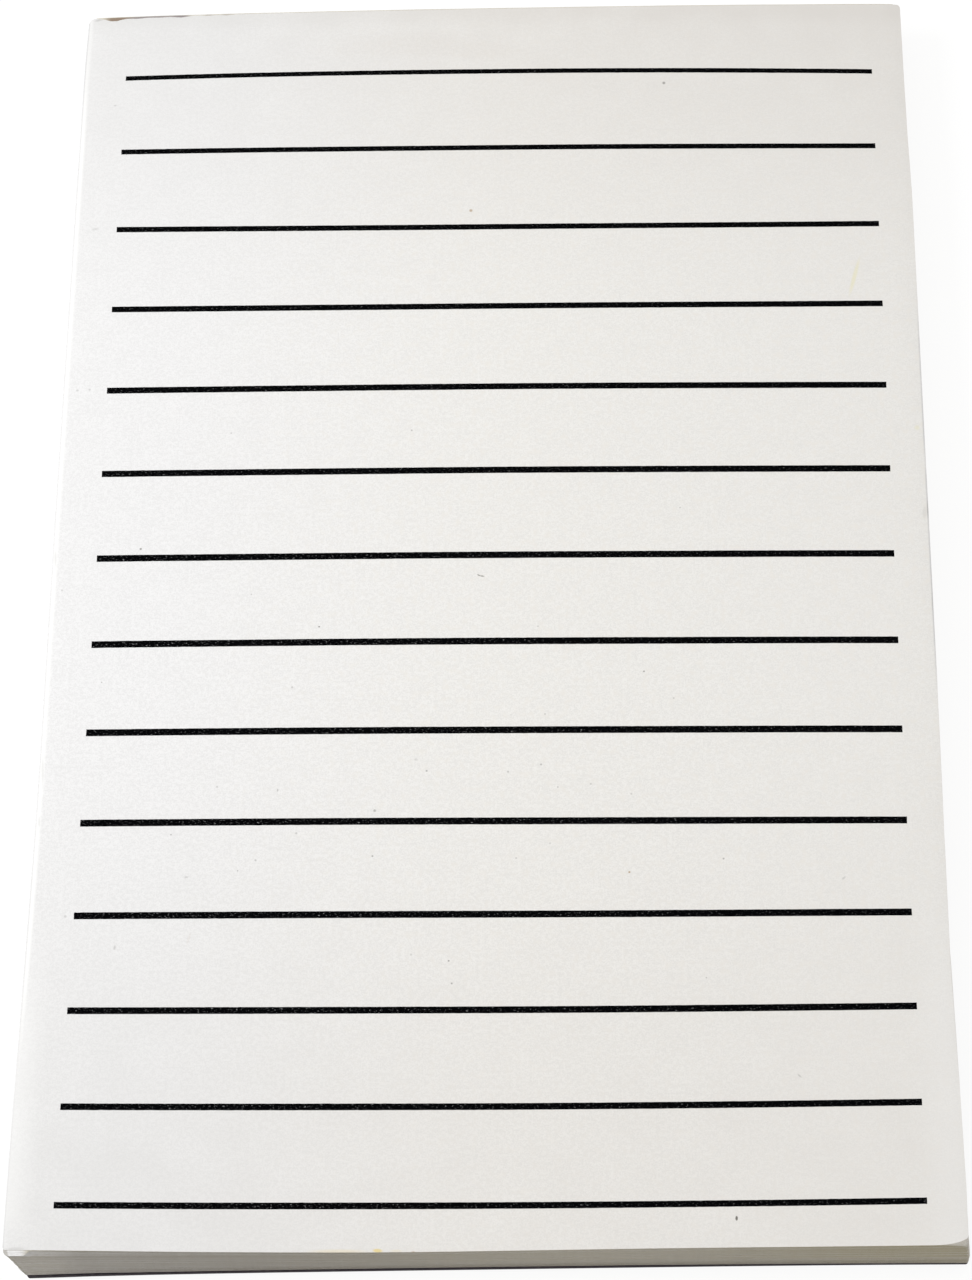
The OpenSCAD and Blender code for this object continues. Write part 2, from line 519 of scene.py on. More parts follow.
# the gum brushed over the bound edge, with a little run over the top sheet at its left end
gum = {
    "seatClearance": 0.006 * mm,
    "thickness": 0.2 * mm,
    "columns": 160,
    "levels": 40,
    "lapLevels": 5,
    "brushWander": 0.09 * mm,
    "brushLengths": (7 * mm, 2.3 * mm, 23 * mm),
    "brushClimbs": (9, 31, 47),
    "brushStart": 1.7,
    "brushLevel": 1.6,          # the level strokes show most
    "endInset": 1.3 * mm,
    "endFeather": 3 * mm,
    "endLeast": 0.15,
    "topFeather": 0.06,
    "topLeast": 0.25,
    "lapThickness": 0.05 * mm,
    "lapTaper": 0.8,
    "bareLap": 0.03 * mm,
    "rippleDepth": 0.3,
    "rippleLengths": (0.8 * mm, 2.9 * mm),
    "edgeAge": (0.25, 0.2),     # of the film on the edge, and how much the strokes change it
    # place, reach and width in millimetres, and age
    "runs": [(-65.5, 1.8, 0.72, 1), (-62, 2.6, 0.2, 0.75), (-57.5, 3.2, 0.21, 0.75),
             (-53.8, 1.6, 0.2, 0.75), (-49.3, 1.2, 0.15, 0.5), (-46.2, 1.1, 0.15, 0.5)],
}


def gumRuns(x, column):
    # what the runs add up to along the bound edge, by a column of their table
    return sum(run[column] * np.exp(-((x / mm - run[0]) / run[1]) ** 2) for run in gum["runs"])


gumColumns = np.linspace(-halfWidth + gum["endInset"], halfWidth - gum["endInset"], gum["columns"] + 1)
boundGum, columns, rows, number, upper = slabGrid(
    "gum_film", gum["columns"], gum["levels"] + gum["lapLevels"], gum["thickness"])
x = gumColumns[columns]
climb = np.clip(rows / gum["levels"], 0, 1)
over = np.clip((rows - gum["levels"]) / gum["lapLevels"], 0, 1)
shortRipple, longRipple = gum["rippleLengths"]
ripple = np.sin(x / shortRipple) * np.sin(x / longRipple + 1)
lap = (gum["bareLap"] + gumRuns(x, 2) * mm) * (1 + gum["rippleDepth"] * ripple)
broad, narrow, slow = gum["brushLengths"]
broadClimb, narrowClimb, levelClimb = gum["brushClimbs"]
brush = np.sin(x / broad + broadClimb * climb)
brush += np.sin(x / narrow + narrowClimb * climb + gum["brushStart"])
brush += gum["brushLevel"] * np.sin(levelClimb * climb + np.sin(x / slow))
brush /= 3
fromTip = halfWidth - gum["endInset"] - np.abs(x)
feather = gum["endLeast"] + (1 - gum["endLeast"]) * smooth(fromTip / gum["endFeather"])
feather *= gum["topLeast"] + (1 - gum["topLeast"]) * smooth((1 - climb) / gum["topFeather"])
depth = (gum["thickness"] + gum["brushWander"] * brush) * feather
topZ = writingHeight(x, np.full_like(x, halfLength))
share = np.clip((climb * topZ - boardTop) / (topZ - boardTop), 0, 1)
seatX, seatY = outline(x, np.full_like(x, halfLength), share)
lapping = rows > gum["levels"]
lift = gum["seatClearance"] + gum["lapThickness"] * (1 - gum["lapTaper"] * over) * upper
y = seatY + np.where(lapping, -lap * over, gum["seatClearance"] + depth * upper)
z = climb * topZ + np.where(rows >= gum["levels"], lift, 0)
writePoints(boundGum, *slewed(seatX, y, share), z)
edgeAge, strokeAge = gum["edgeAge"]
pointValue(boundGum, "gumAge", np.where(lapping, gumRuns(x, 3), edgeAge + strokeAge * brush))
settle(boundGum, "gum", "binding_gum")


# a socket that takes part in sums, so a finish reads as arithmetic
class Wire:
    def __init__(self, nodes, socket):
        self.nodes = nodes
        self.socket = socket

    def sum(self, operation, first, second):
        return self.nodes.add("ShaderNodeMath", {"operation": operation}, {0: first, 1: second})

    def __add__(self, other):
        return self.sum("ADD", self, other)

    def __radd__(self, other):
        return self.sum("ADD", other, self)

    def __sub__(self, other):
        return self.sum("SUBTRACT", self, other)

    def __rsub__(self, other):
        return self.sum("SUBTRACT", other, self)

    def __mul__(self, other):
        return self.sum("MULTIPLY", self, other)

    def __rmul__(self, other):
        return self.sum("MULTIPLY", other, self)

    def larger(self, other):
        return self.sum("MAXIMUM", self, other)


markShape = {
    "core": 0.3,        # share of a mark's reach that has its full strength
    "stubby": 1.5,      # a mark less long than this many times its width is taken as round
}


class Nodes:
    def __init__(self, tree):
        self.tree = tree
        self.tree.nodes.clear()

    def add(self, kind, settings=None, sockets=None, out=0):
        node = self.tree.nodes.new(kind)
        for key, value in (settings or {}).items():
            setattr(node, key, value)
        for key, value in (sockets or {}).items():
            if isinstance(value, Wire):
                self.tree.links.new(value.socket, node.inputs[key])
            else:
                node.inputs[key].default_value = value
        return Wire(self, node.outputs[out]) if node.outputs else node

    def place(self, scale=(1, 1, 1), turn=0):
        # object coordinates in millimetres
        coords = self.add("ShaderNodeTexCoord", out="Object")
        perMillimetre = tuple(value / mm for value in scale)
        return self.add("ShaderNodeMapping", {},
                        {"Vector": coords, "Rotation": (0, 0, turn), "Scale": perMillimetre})

    def part(self, place, axis):
        return self.add("ShaderNodeSeparateXYZ", {}, {0: place}, out=axis)

    def value(self, name):
        return self.add("ShaderNodeAttribute", {"attribute_name": name}, out="Fac")

    def noise(self, place, scale, detail=2, roughness=0.5):
        return self.add("ShaderNodeTexNoise", {},
                        {"Vector": place, "Scale": scale, "Detail": detail, "Roughness": roughness})

    def between(self, value, low, high, toLow=0, toHigh=1):
        return self.add("ShaderNodeMapRange", {"interpolation_type": "SMOOTHSTEP"},
                        {0: value, 1: low, 2: high, 3: toLow, 4: toHigh})

    def blend(self, share, first, second):
        colours = {}
        for index, colour in ((6, first), (7, second)):    # the colour sockets of a Mix node
            colours[index] = colour if isinstance(colour, Wire) else (*colour, 1)
        return self.add("ShaderNodeMix", {"data_type": "RGBA"}, {0: share, **colours}, out=2)

    def darken(self, colour, factor):
        return self.add("ShaderNodeMix", {"data_type": "RGBA", "blend_type": "MULTIPLY"},
                        {0: 1, 6: colour, 7: factor}, out=2)

    def bump(self, height, distance, strength):
        return self.add("ShaderNodeBump", {},
                        {"Height": height, "Distance": distance, "Strength": strength})

    def mark(self, place, x, y, long, wide, turn, strength):
        # full strength in the middle of an oval mark, nothing outside it
        core = markShape["core"]
        if long < markShape["stubby"] * wide:
            radius = math.sqrt(long * wide)
            away = self.add("ShaderNodeVectorMath", {"operation": "DISTANCE"}, {0: place, 1: (x, y, 0)},
                            out="Value")
            return self.between(away, radius, core * radius, 0, strength)
        local = self.add("ShaderNodeMapping", {"vector_type": "TEXTURE"},
                         {"Vector": place, "Location": (x, y, 0), "Rotation": (0, 0, math.radians(turn)),
                          "Scale": (long, wide, 1)})
        away = self.add("ShaderNodeVectorMath", {"operation": "LENGTH"}, {0: local}, out="Value")
        return self.between(away, 1, core, 0, strength)

    def shade(self, colour, roughness, normal, shine=0.5):
        shader = self.add("ShaderNodeBsdfPrincipled", {}, {"Base Color": colour, "Roughness": roughness,
                                                           "Normal": normal, "Specular IOR Level": shine})
        self.add("ShaderNodeOutputMaterial", {}, {"Surface": shader})


def newFinish(name):
    material = bpy.data.materials.new(name)
    material.use_nodes = True
    return material, Nodes(material.node_tree)


flatFrom = 0.7      # how far a face looks up or down that counts as flat


def dress(piece, *materials):
    # a second finish goes on the faces that lie flat
    piece.data.materials.clear()
    for material in materials:
        piece.data.materials.append(material)
    if len(materials) > 1:
        for face in piece.data.polygons:
            face.material_index = 1 if abs(face.normal.z) > flatFrom else 0


# white bond paper with the marks that the top sheet has picked up
# places are in millimetres on the sheet; a range is its start and end, and then what it gives there
paper = {
    "white": (0.865, 0.8435, 0.8155),
    "shade": (0.807, 0.7865, 0.7605),
    "coolWhite": (0.865, 0.8505, 0.849),    # towards the left side
    "coolShade": (0.807, 0.7925, 0.7905),
    "whiterThanPaper": (0.905, 0.895, 0.89),          # whiter than the paper: the painted highlight on the fanned edges, and the lighter strip near the right side
    "rimHighlight": (0.945, 0.932, 0.92),            # painted highlight on the turned-down left edge, which faces the lamp
    "hem": (0.66, 0.65, 0.655),             # the very edge on that side
    "rightEdgeGrey": (0.5, 0.5, 0.52),            # and on the right
    "warm": (0.843, 0.812, 0.772),
    "shadeAndSoil": (0.752, 0.719, 0.685),
    "coolShadeAndSoil": (0.752, 0.737, 0.728),
    "grey": (0.2, 0.19, 0.17),
    "brown": (0.44, 0.3, 0.17),
    "yellow": (0.8, 0.66, 0.34),
    "straw": (0.813, 0.762, 0.427),
    # noises: scale, detail and roughness
    "formation": (0.3, 4, 0.6),
    "grain": (1.6, 3, 0.65),
    "tooth": (4.2, 3, 0.65),
    "warmSpots": (0.8, 2),
    "clouds": (0.12, 3),
    # the bare sheet
    "mottleShares": (0.15, 0.3, 0.55),
    "mottleRange": (0.42, 0.58),
    "coolAcross": (10, -60),
    "warmRange": (0.45, 0.75),
    "roughness": (0.3, 0.7, 0.78, 0.9),
    "relief": (0.02 * mm, 0.45),
    "shine": 0.2,
    # darker towards both ends, painted shade where the lamp's light falls off with some soil in it; the
    # soak of the gum; and the flecks
    "headShadeAndSoil": (40, 108, 0, 0.6),
    "footShadeAndSoil": (-15, -108),
    "footShadeAndSoilAcross": (10, -60, 0.5, 0.82),
    "shadeAndSoilClouds": 0.5,
    "gumSoak": (104.5, 108.4, 0, 0.36),
    "soakClouds": (0.4, 1.2),
    "fleckRange": (0.42, 0.58, -1, 1),
    "fleckDown": (60, -60, 0.0115, 0.0195),
    "fleckAcross": (20, 65, 1, 0.3),
    # the two side edges: a painted highlight along the left one, a darker line at the very edge of each,
    # and a lighter strip near the right one
    "rimOuter": (0.05, 0.3),
    "rimInner": (1.1, 0.4),
    "rimHead": (104, 80, 0.4, 1),
    "rimFoot": (-92, -60, 0.1, 0.95),
    "paleReach": (5, 0),
    "paleDown": (-50, -80, 0, 0.38),
    "paleFoot": (-107.5, -102.5),
    "hemReach": (0.3, 0.1),
    "hemHead": (80, 102, 0.12, 0.6),
    "hemFoot": (-70, -100, 0, 0.3),
    "rightEdgeGreyReach": (0.36, 0.08),
    "rightEdgeGreyHead": (62, 40),
    "rightEdgeGreyFoot": (-24, -12),
    "rightEdgeGreyClouds": (0.35, 0.65, 0.2, 0.6),
    "lighterReach": (8, 1, 0, 0.27),
    "lighterDown": (-40, -75),
    # the left edge of the sheets below, and the fanned tips among them
    "leftShadeReach": (0.8, 0.4, 0, 0.6),
    "tipStep": 0.01,
    "tipFade": (2.2, 4),
    "tipFadeEnd": (20, 12),
    # marks: place, half length, half width, turn and strength
    "markStrength": 2,
    "greyMarks": [
        (28.7, 93.5, 0.4, 0.34, 20, 0.34), (-56.0, 6.2, 0.28, 0.24, 0, 0.4),
        (-27.05, -7.75, 0.19, 0.17, 0, 0.5), (7.5, -7.9, 0.2, 0.16, 30, 0.22),
        (24.1, -15.8, 0.24, 0.2, 0, 0.34), (8.6, -23.0, 0.22, 0.17, 60, 0.2),
        (3.3, -23.1, 0.17, 0.15, 0, 0.13), (8.0, -31.5, 0.29, 0.23, 0, 0.23),
        (-9.7, -32.5, 0.25, 0.22, 45, 0.28), (2.9, -32.7, 0.3, 0.2, 90, 0.2),
        (10.6, -35.3, 0.22, 0.18, 20, 0.2), (15.7, -34.8, 0.2, 0.17, 0, 0.19),
        (21.9, -36.5, 0.22, 0.18, 0, 0.17), (-17.6, -39.1, 0.36, 0.28, 70, 0.26),
        (-48.9, -42.9, 0.22, 0.18, 0, 0.26), (9.4, -44.6, 0.26, 0.2, 0, 0.14),
        (-17.8, -46.6, 0.25, 0.2, 30, 0.3), (35.9, -47.3, 0.25, 0.2, 0, 0.27),
        (4.2, -47.0, 0.22, 0.19, 0, 0.17), (-5.9, -63.6, 0.24, 0.18, 15, 0.36),
        (-1.9, 1.08, 0.42, 0.14, -25, 0.44), (-1.38, 0.92, 0.48, 0.14, -8, 0.44),
        (36.6, -103.65, 0.43, 0.22, 90, 1.1), (69.78, 12.8, 2.6, 0.2, 87, 0.16),
        (69.8, -2.0, 5.0, 0.2, 88, 0.1), (-5.4, -67.2, 0.23, 0.2, 0, 0.3),
        (-66.6, 65.8, 0.85, 0.32, 10, 0.09), (-56.6, -61.3, 0.5, 0.24, 80, 0.15),
        (-46.2, -49.9, 0.45, 0.24, 5, 0.14), (54.1, -50.6, 0.5, 0.24, 40, 0.13),
        (46.4, -82.0, 0.55, 0.2, -45, 0.15), (-35.7, -47.2, 0.26, 0.22, 0, 0.2),
        (-67.8, 35.2, 0.36, 0.3, 0, 0.14), (-13.0, 27.2, 0.24, 0.2, 0, 0.22),
        (-31.0, -18.2, 0.27, 0.24, 0, 0.18), (-65.8, 35.3, 0.32, 0.26, 0, 0.13),
        (-32.7, -35.6, 0.34, 0.18, 90, 0.2), (-68.2, -1.0, 0.3, 0.2, 0, 0.16),
        (-11.4, -30.6, 0.42, 0.28, 70, 0.11), (-42.3, 27.0, 0.2, 0.18, 0, 0.2),
        (-42.1, -35.0, 0.28, 0.18, 0, 0.17), (-38.4, -48.9, 0.19, 0.16, 0, 0.24),
        (28.7, -20.4, 0.19, 0.16, 0, 0.22), (-61.0, -17.1, 0.17, 0.15, 0, 0.26),
        (32.9, -66.5, 0.2, 0.16, 0, 0.22), (-64.5, 90.2, 0.38, 0.24, 0, 0.12),
        (-11.6, -62.6, 0.3, 0.2, 80, 0.14), (-38.0, -2.0, 0.2, 0.17, 0, 0.17),
        (30.2, 12.9, 0.19, 0.16, 0, 0.18), (69.2, 11.9, 1.6, 0.5, 86, 0.06),
        (-29.6, -42.8, 0.3, 0.24, 0, 0.17), (-69.6, 4.7, 2.0, 0.24, 93, 0.08),
        (-69.4, -32.0, 3.2, 0.26, 93, 0.07), (-69.4, -40.6, 1.2, 0.24, 93, 0.07),
        (-64.4, -56.2, 0.34, 0.28, 0, 0.14), (-68.5, -108.03, 2.0, 0.36, 0, 0.09),
        (-68.1, 107.95, 1.2, 0.35, 15, 0.13)],
    "brownMarks": [
        (-3.8, 68.57, 0.42, 0.36, 0, 0.36), (21.5, -49.4, 0.26, 0.22, 0, 0.42),
        (-45.4, -59.9, 1.3, 0.3, 75, 0.05), (-10.5, -108.6, 0.5, 0.32, 0, 0.5),
        (-16.5, 101.6, 17, 3.4, 2, 0.016), (-3.0, 100.4, 11, 2.6, -3, 0.016)],
    "yellowMarks": [
        (-15.7, -108.25, 0.95, 0.38, -4, 0.6), (-21.5, -108.4, 5.5, 0.5, 0, 0.16),
        (-13.0, -108.3, 1.2, 0.3, 0, 0.12)],
    "strawMarks": [
        (59.6, 55.4, 4.6, 0.5, 75, 0.2), (68.7, 27.2, 0.65, 0.55, 0, 0.15)],
}


def gatherMarks(nodes, place, marks):
    gathered = None
    for *shape, strength in marks:
        mark = nodes.mark(place, *shape, strength * paper["markStrength"])
        gathered = gathered.larger(mark) if gathered else mark
    return gathered


def bareSheet(nodes, place, cool, grain, tooth):
    formation = nodes.noise(place, *paper["formation"])
    formationShare, grainShare, toothShare = paper["mottleShares"]
    mottle = formation * formationShare + grain * grainShare + tooth * toothShare
    white = nodes.blend(cool, paper["white"], paper["coolWhite"])
    shade = nodes.blend(cool, paper["shade"], paper["coolShade"])
    colour = nodes.blend(nodes.between(mottle, *paper["mottleRange"]), white, shade)
    warmth = nodes.between(nodes.noise(place, *paper["warmSpots"]), *paper["warmRange"]) * (1 - cool)
    return nodes.blend(warmth, colour, paper["warm"])


# darker towards both ends, painted shade where the light falls off with some soil in it, and the real
# stain where the gum has soaked in
def shadedAndSoiled(nodes, colour, place, cool, cloud):
    down = nodes.part(place, 1)
    head = nodes.between(down, *paper["headShadeAndSoil"])
    foot = nodes.between(nodes.part(place, 0), *paper["footShadeAndSoilAcross"])
    foot = foot * nodes.between(down, *paper["footShadeAndSoil"])
    soak = nodes.between(down, *paper["gumSoak"])
    least, growth = paper["soakClouds"]
    shadeAndSoil = (head + foot) * (paper["shadeAndSoilClouds"] + cloud) + soak * (least + cloud * growth)
    return nodes.blend(shadeAndSoil, colour, nodes.blend(cool, paper["shadeAndSoil"], paper["coolShadeAndSoil"]))


def flecked(nodes, colour, place, grain, tooth):
    down = nodes.between(nodes.part(place, 1), *paper["fleckDown"])
    across = nodes.between(nodes.part(place, 0), *paper["fleckAcross"])
    fleck = nodes.between((tooth + grain) * 0.5, *paper["fleckRange"])
    return nodes.darken(colour, 1 - fleck * (down * across))


def sideHighlightAndTones(nodes, colour, place, cloud):
    down = nodes.part(place, 1)
    fromLeft = nodes.value("fromLeft")
    fromRight = 2 * halfWidth / mm - fromLeft
    # a painted highlight along the left edge where it turns down towards the lamp, widening into a softer
    # one towards the loose end
    rimHighlight = nodes.between(fromLeft, *paper["rimOuter"]) * nodes.between(fromLeft, *paper["rimInner"])
    rimHighlight = rimHighlight * nodes.between(down, *paper["rimHead"]) * nodes.between(down, *paper["rimFoot"])
    pale = nodes.between(fromLeft, *paper["paleReach"]) * nodes.between(down, *paper["paleDown"])
    rimHighlight = rimHighlight.larger(pale * nodes.between(down, *paper["paleFoot"]))
    colour = nodes.blend(rimHighlight, colour, paper["rimHighlight"])
    # a darker line along the very left edge near both ends
    dull = nodes.between(down, *paper["hemHead"]).larger(nodes.between(down, *paper["hemFoot"]))
    colour = nodes.blend(nodes.between(fromLeft, *paper["hemReach"]) * dull, colour, paper["hem"])
    # a grey line along the right edge
    rightEdgeGrey = nodes.between(down, *paper["rightEdgeGreyHead"]) * nodes.between(down, *paper["rightEdgeGreyFoot"])
    rightEdgeGrey = rightEdgeGrey * nodes.between(cloud, *paper["rightEdgeGreyClouds"])
    rightEdgeGrey = rightEdgeGrey * nodes.between(fromRight, *paper["rightEdgeGreyReach"])
    colour = nodes.blend(rightEdgeGrey, colour, paper["rightEdgeGrey"])
    # lighter near the right edge towards the loose end
    clean = nodes.between(fromRight, *paper["lighterReach"]) * nodes.between(down, *paper["lighterDown"])
    return nodes.blend(clean, colour, paper["whiterThanPaper"])


def leftShadeAndTips(nodes, colour):
    # darker along the left side, painted shade of the gaps between the sheets there along with grime; and
    # fanned tips that fade to the colour of the cut edges
    fromLeft = nodes.value("fromLeft")
    colour = nodes.blend(nodes.between(fromLeft, *paper["leftShadeReach"]), colour, cutEdges["shadeAndSoil"])
    tipFrom = sheets["tipFrom"]
    tips = nodes.between(nodes.value("sheetShare"), tipFrom - paper["tipStep"], tipFrom)
    fading = nodes.between(fromLeft, *paper["tipFade"]) * nodes.between(fromLeft, *paper["tipFadeEnd"])
    return nodes.blend(fading * tips, colour, cutEdges["pale"])


def paperFinish(name, marked):
    material, nodes = newFinish(name)
    place = nodes.place((1, 1, 0), -lie["slew"])
    grain = nodes.noise(place, *paper["grain"])
    tooth = nodes.noise(place, *paper["tooth"])
    cool = nodes.between(nodes.part(place, 0), *paper["coolAcross"])
    colour = bareSheet(nodes, place, cool, grain, tooth)
    if marked:
        cloud = nodes.noise(place, *paper["clouds"])
        colour = shadedAndSoiled(nodes, colour, place, cool, cloud)
        colour = flecked(nodes, colour, place, grain, tooth)
        colour = sideHighlightAndTones(nodes, colour, place, cloud)
        for tint in ("straw", "yellow", "brown", "grey"):
            colour = nodes.blend(gatherMarks(nodes, place, paper[tint + "Marks"]), colour, paper[tint])
    else:
        colour = leftShadeAndTips(nodes, colour)
    roughness = nodes.between(grain, *paper["roughness"])
    nodes.shade(colour, roughness, nodes.bump(tooth, *paper["relief"]), paper["shine"])
    return material


# the cut edges of the pile, greyer and warmer than the sheets: dirt, and painted shade of the gaps between
# the sheets
cutEdges = {
    "pale": (0.556, 0.51, 0.408),
    "dark": (0.458, 0.417, 0.332),
    "shadeAndSoil": (0.32, 0.29, 0.24),
    "yellow": (0.46, 0.395, 0.215),
    "streakStretch": (0.05, 0.05, 3),
    "streak": (1, 2),
    "grime": (0.16, 3),
    "mixShares": (0.25, 0.35, 0.4),     # of a sheet's own tone, the streaks and the grime
    "mixRange": (0.1, 0.9),
    "yellowLevels": (0.62, 0.33),       # shares of the height of the pile
    "yellowWidth": 0.06,
    "yellowGrime": 0.3,
    "yellowLeast": 0.72,
    "yellowAcross": (22, 66),
    # painted shade with some dirt towards the bottom of the pile, and painted shade towards the left
    "lowShadeAndSoil": (0.42, 0),
    "lowShadeAndSoilAcross": (-66, -45, 0.2, 0.75),
    "lowShadeAndSoilGrime": 0.4,
    "leftShade": (10, -40, 0, 0.65),
    "leftShadeEnd": (-68, -60),
    "fibreStretch": (1, 1, 3),
    "fibre": (4, 3, 0.7),
    "relief": (0.02 * mm, 0.5),
    "roughness": 0.9,
    "shine": 0.15,
}


def edgeFinish():
    material, nodes = newFinish("cut page edges")
    place = nodes.place()
    across = nodes.part(place, 0)
    share = nodes.value("sheetShare")
    streak = nodes.noise(nodes.place(cutEdges["streakStretch"]), *cutEdges["streak"])
    grime = nodes.noise(place, *cutEdges["grime"])
    toneShare, streakShare, grimeShare = cutEdges["mixShares"]
    mix = nodes.value("sheetTone") * toneShare + streak * streakShare + grime * grimeShare
    # greyer than the paper: dirt, with painted shade of the gaps between the sheets
    colour = nodes.blend(nodes.between(mix, *cutEdges["mixRange"]), cutEdges["dark"], cutEdges["pale"])
    yellow = None
    for level in cutEdges["yellowLevels"]:
        low = level - cutEdges["yellowWidth"]
        high = level + cutEdges["yellowWidth"]
        band = nodes.between(share, low, level) * nodes.between(share, high, level)
        yellow = yellow.larger(band) if yellow else band
    yellow = (yellow * (cutEdges["yellowGrime"] + grime)).larger(cutEdges["yellowLeast"])
    yellow = yellow * nodes.between(across, *cutEdges["yellowAcross"])
    colour = nodes.blend(yellow, colour, cutEdges["yellow"])
    # painted shade with some dirt towards the bottom of the pile, and painted shade towards the left
    low = nodes.between(share, *cutEdges["lowShadeAndSoil"]) * nodes.between(across, *cutEdges["lowShadeAndSoilAcross"])
    colour = nodes.blend(low * (cutEdges["lowShadeAndSoilGrime"] + grime), colour, cutEdges["shadeAndSoil"])
    left = nodes.between(across, *cutEdges["leftShade"]) * nodes.between(across, *cutEdges["leftShadeEnd"])
    colour = nodes.blend(left, colour, cutEdges["shadeAndSoil"])
    # a painted highlight on the fanned edges of the near left corner, whiter than the paper
    colour = nodes.blend(nodes.value("fanHighlight"), colour, paper["whiterThanPaper"])
    fibres = nodes.noise(nodes.place(cutEdges["fibreStretch"]), *cutEdges["fibre"])
    nodes.shade(colour, cutEdges["roughness"], nodes.bump(fibres, *cutEdges["relief"]), cutEdges["shine"])
    return material


# the ink, worn off the fibres of the paper
ink = {
    "black": (0.0006, 0.0007, 0.0011),
    "bare": (0.4, 0.4, 0.405),
    "stretch": (1, 1.6, 0),
    "fibre": (2.4, 4, 0.75),
    "wornRange": (0.57, 0.74),
    "wornAcross": (-45, 65, 1, 0.5),
    "wornDown": (90, -30, 0.65, 1.1),   # in stretched millimetres
    "relief": (0.01 * mm, 0.4),
    "roughness": 0.85,
    "shine": 0.018,
}


def inkFinish():
    material, nodes = newFinish("black ruling ink")
    place = nodes.place(ink["stretch"])
    fibre = nodes.noise(place, *ink["fibre"])
    worn = nodes.between(fibre, *ink["wornRange"])
    worn = worn * nodes.between(nodes.part(place, 0), *ink["wornAcross"])
    worn = worn * nodes.between(nodes.part(place, 1), *ink["wornDown"])
    colour = nodes.blend(worn, ink["black"], ink["bare"])
    nodes.shade(colour, ink["roughness"], nodes.bump(fibre, *ink["relief"]), ink["shine"])
    return material


# the pulp of the board, in plies; near black, its own dark colour deepened with painted shade of its
# shadowed edge and the contact shadow under it
pulpBoard = {
    "dark": (0.02, 0.015, 0.022),
    "light": (0.07, 0.058, 0.066),
    "pulp": (1.1, 5, 0.65),
    "plyStretch": (0.2, 0.2, 5),
    "ply": (1, 2),
    "plyShare": 0.3,
    "mixRange": (0.35, 0.68),
    "relief": (0.06 * mm, 0.7),
    "roughness": 0.88,
    "shine": 0.2,
}


def boardFinish():
    material, nodes = newFinish("dark pulp board")
    pulp = nodes.noise(nodes.place(), *pulpBoard["pulp"])
    ply = nodes.noise(nodes.place(pulpBoard["plyStretch"]), *pulpBoard["ply"])
    mix = pulp * (1 - pulpBoard["plyShare"]) + ply * pulpBoard["plyShare"]
    colour = nodes.blend(nodes.between(mix, *pulpBoard["mixRange"]), pulpBoard["dark"], pulpBoard["light"])
    nodes.shade(colour, pulpBoard["roughness"], nodes.bump(pulp, *pulpBoard["relief"]), pulpBoard["shine"])
    return material


# the dried gum, brown where it has aged
driedGum = {
    "clear": (0.72, 0.68, 0.58),
    "agedLeft": (0.27, 0.2, 0.145),
    "aged": (0.28, 0.24, 0.24),
    "agedAcross": (-63, -60),
    "strokeStretch": (0.06, 1, 1.6),
    "stroke": (1, 4, 0.6),
    "strokeShare": 0.35,
    "mixRange": (0.2, 1.15),
    "relief": (0.05 * mm, 0.6),
    "roughness": (0.3, 0.7, 0.36, 0.55),
}


def gumFinish():
    material, nodes = newFinish("dried padding gum")
    strokes = nodes.noise(nodes.place(driedGum["strokeStretch"]), *driedGum["stroke"])
    mix = nodes.between(strokes * driedGum["strokeShare"] + nodes.value("gumAge"), *driedGum["mixRange"])
    along = nodes.between(nodes.part(nodes.place(), 0), *driedGum["agedAcross"])
    aged = nodes.blend(along, driedGum["agedLeft"], driedGum["aged"])
    colour = nodes.blend(mix, driedGum["clear"], aged)
    roughness = nodes.between(strokes, *driedGum["roughness"])
    nodes.shade(colour, roughness, nodes.bump(strokes, *driedGum["relief"]))
    return material


edges = edgeFinish()
dress(topSheet, edges, paperFinish("bond paper, written side", True))
dress(sheetPile, edges, paperFinish("bond paper, clean sheets", False))
dress(ruledLines, inkFinish())
dress(backingBoard, boardFinish())
dress(boundGum, gumFinish())
print("finishes done")

# the stage: a white table that keeps the shadow, soft light from above and from the left
stage = {
    "tableSize": 6,
    "tableDrop": 0.02 * mm,     # keeps the table clear of the board's underside
    "tableBounce": 0.58,
    "tableShade": 0.13,
    "tableGlow": 0.9,
    "skyLow": 0.25,
    "skyHigh": 0.87,
    "skyTint": (1, 0.988, 0.962),
    "lampPlace": (-0.5, 0.04, 0.5),
    "lampSize": 0.3,
    "lampWatts": 2.85,
    "lampTint": (0.925, 0.968, 1),
}


def seenDirectly(nodes):
    path = nodes.tree.nodes.new("ShaderNodeLightPath")
    kinds = ("Is Camera Ray", "Is Glossy Ray", "Is Transmission Ray")
    toCamera, glossy, through = (Wire(nodes, path.outputs[kind]) for kind in kinds)
    return toCamera.larger(glossy).larger(through)


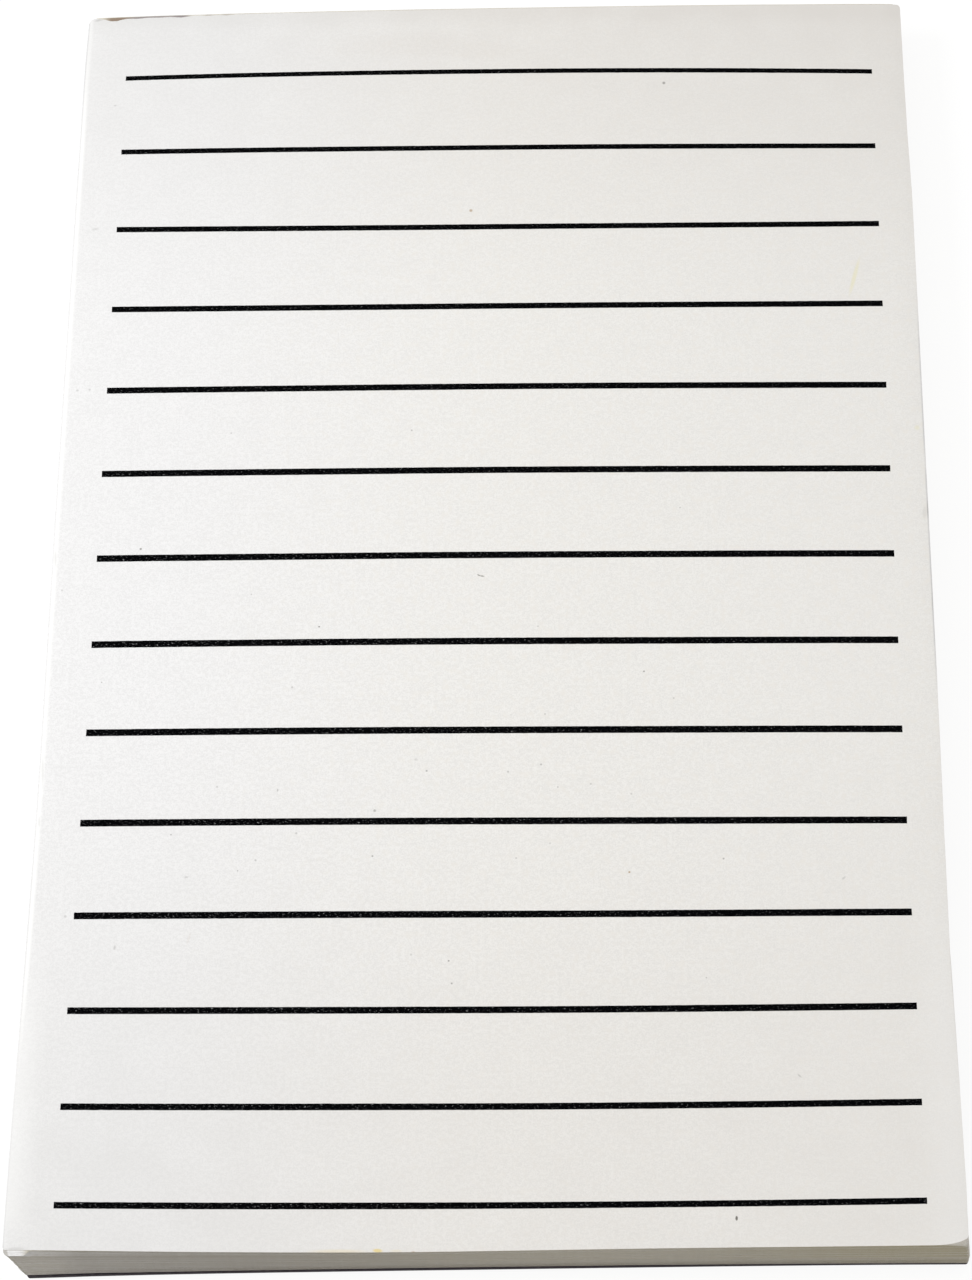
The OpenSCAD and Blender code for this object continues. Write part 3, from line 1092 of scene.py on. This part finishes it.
def tableFinish():
    material, nodes = newFinish("white table")
    bounce = nodes.add("ShaderNodeBsdfDiffuse", {}, {"Color": (stage["tableBounce"],) * 3 + (1,)})
    shade = nodes.add("ShaderNodeBsdfDiffuse", {}, {"Color": (stage["tableShade"],) * 3 + (1,)})
    glow = nodes.add("ShaderNodeEmission", {}, {"Strength": stage["tableGlow"]})
    white = nodes.add("ShaderNodeAddShader", {}, {0: shade, 1: glow})
    mixed = nodes.add("ShaderNodeMixShader", {}, {0: seenDirectly(nodes), 1: bounce, 2: white})
    nodes.add("ShaderNodeOutputMaterial", {}, {"Surface": mixed})
    return material


bpy.ops.object.select_all(action="DESELECT")
bpy.ops.mesh.primitive_plane_add(size=stage["tableSize"], location=(0, 0, -stage["tableDrop"]))
table = bpy.context.object
table.name = "table"
dress(table, tableFinish())

world = bpy.data.worlds.new("studio")
bpy.context.scene.world = world
world.use_nodes = True
sky = Nodes(world.node_tree)
direction = sky.add("ShaderNodeTexCoord", out="Generated")
height = sky.add("ShaderNodeMapRange", {},
                 {0: sky.part(direction, 2), 3: stage["skyLow"], 4: stage["skyHigh"]})
seen = seenDirectly(sky)
strength = seen + (1 - seen) * height
tint = sky.blend(seen, stage["skyTint"], (1, 1, 1))
background = sky.add("ShaderNodeBackground", {}, {"Color": tint, "Strength": strength})
sky.add("ShaderNodeOutputWorld", {}, {"Surface": background})

bpy.ops.object.light_add(type="AREA", location=stage["lampPlace"])
lamp = bpy.context.object
lamp.data.size = stage["lampSize"]
lamp.data.energy = stage["lampWatts"]
lamp.data.color = stage["lampTint"]
lamp.rotation_euler = (-Vector(stage["lampPlace"])).to_track_quat("-Z", "Y").to_euler()

# the camera of the photograph
view = {
    "place": (13.37 * mm, -237.34 * mm, 508.79 * mm),
    "turn": (24.46441, 1.26542, -0.55017),
    "focalPixels": 3482.1,
    "imageWidth": 972,
    "imageHeight": 1280,
    "opticalCentre": (520, 640),
    "sensor": 36,
    "clipStart": 0.01,
}

bpy.ops.object.camera_add(location=view["place"], rotation=[math.radians(angle) for angle in view["turn"]])
camera = bpy.context.object
camera.data.sensor_width = view["sensor"]
camera.data.lens = view["focalPixels"] * view["sensor"] / view["imageHeight"]
camera.data.shift_x = (view["imageWidth"] / 2 - view["opticalCentre"][0]) / view["imageHeight"]
camera.data.shift_y = (view["opticalCentre"][1] - view["imageHeight"] / 2) / view["imageHeight"]
camera.data.clip_start = view["clipStart"]
bpy.context.scene.camera = camera
bpy.context.scene.view_settings.view_transform = "Standard"
print("stage and camera done")
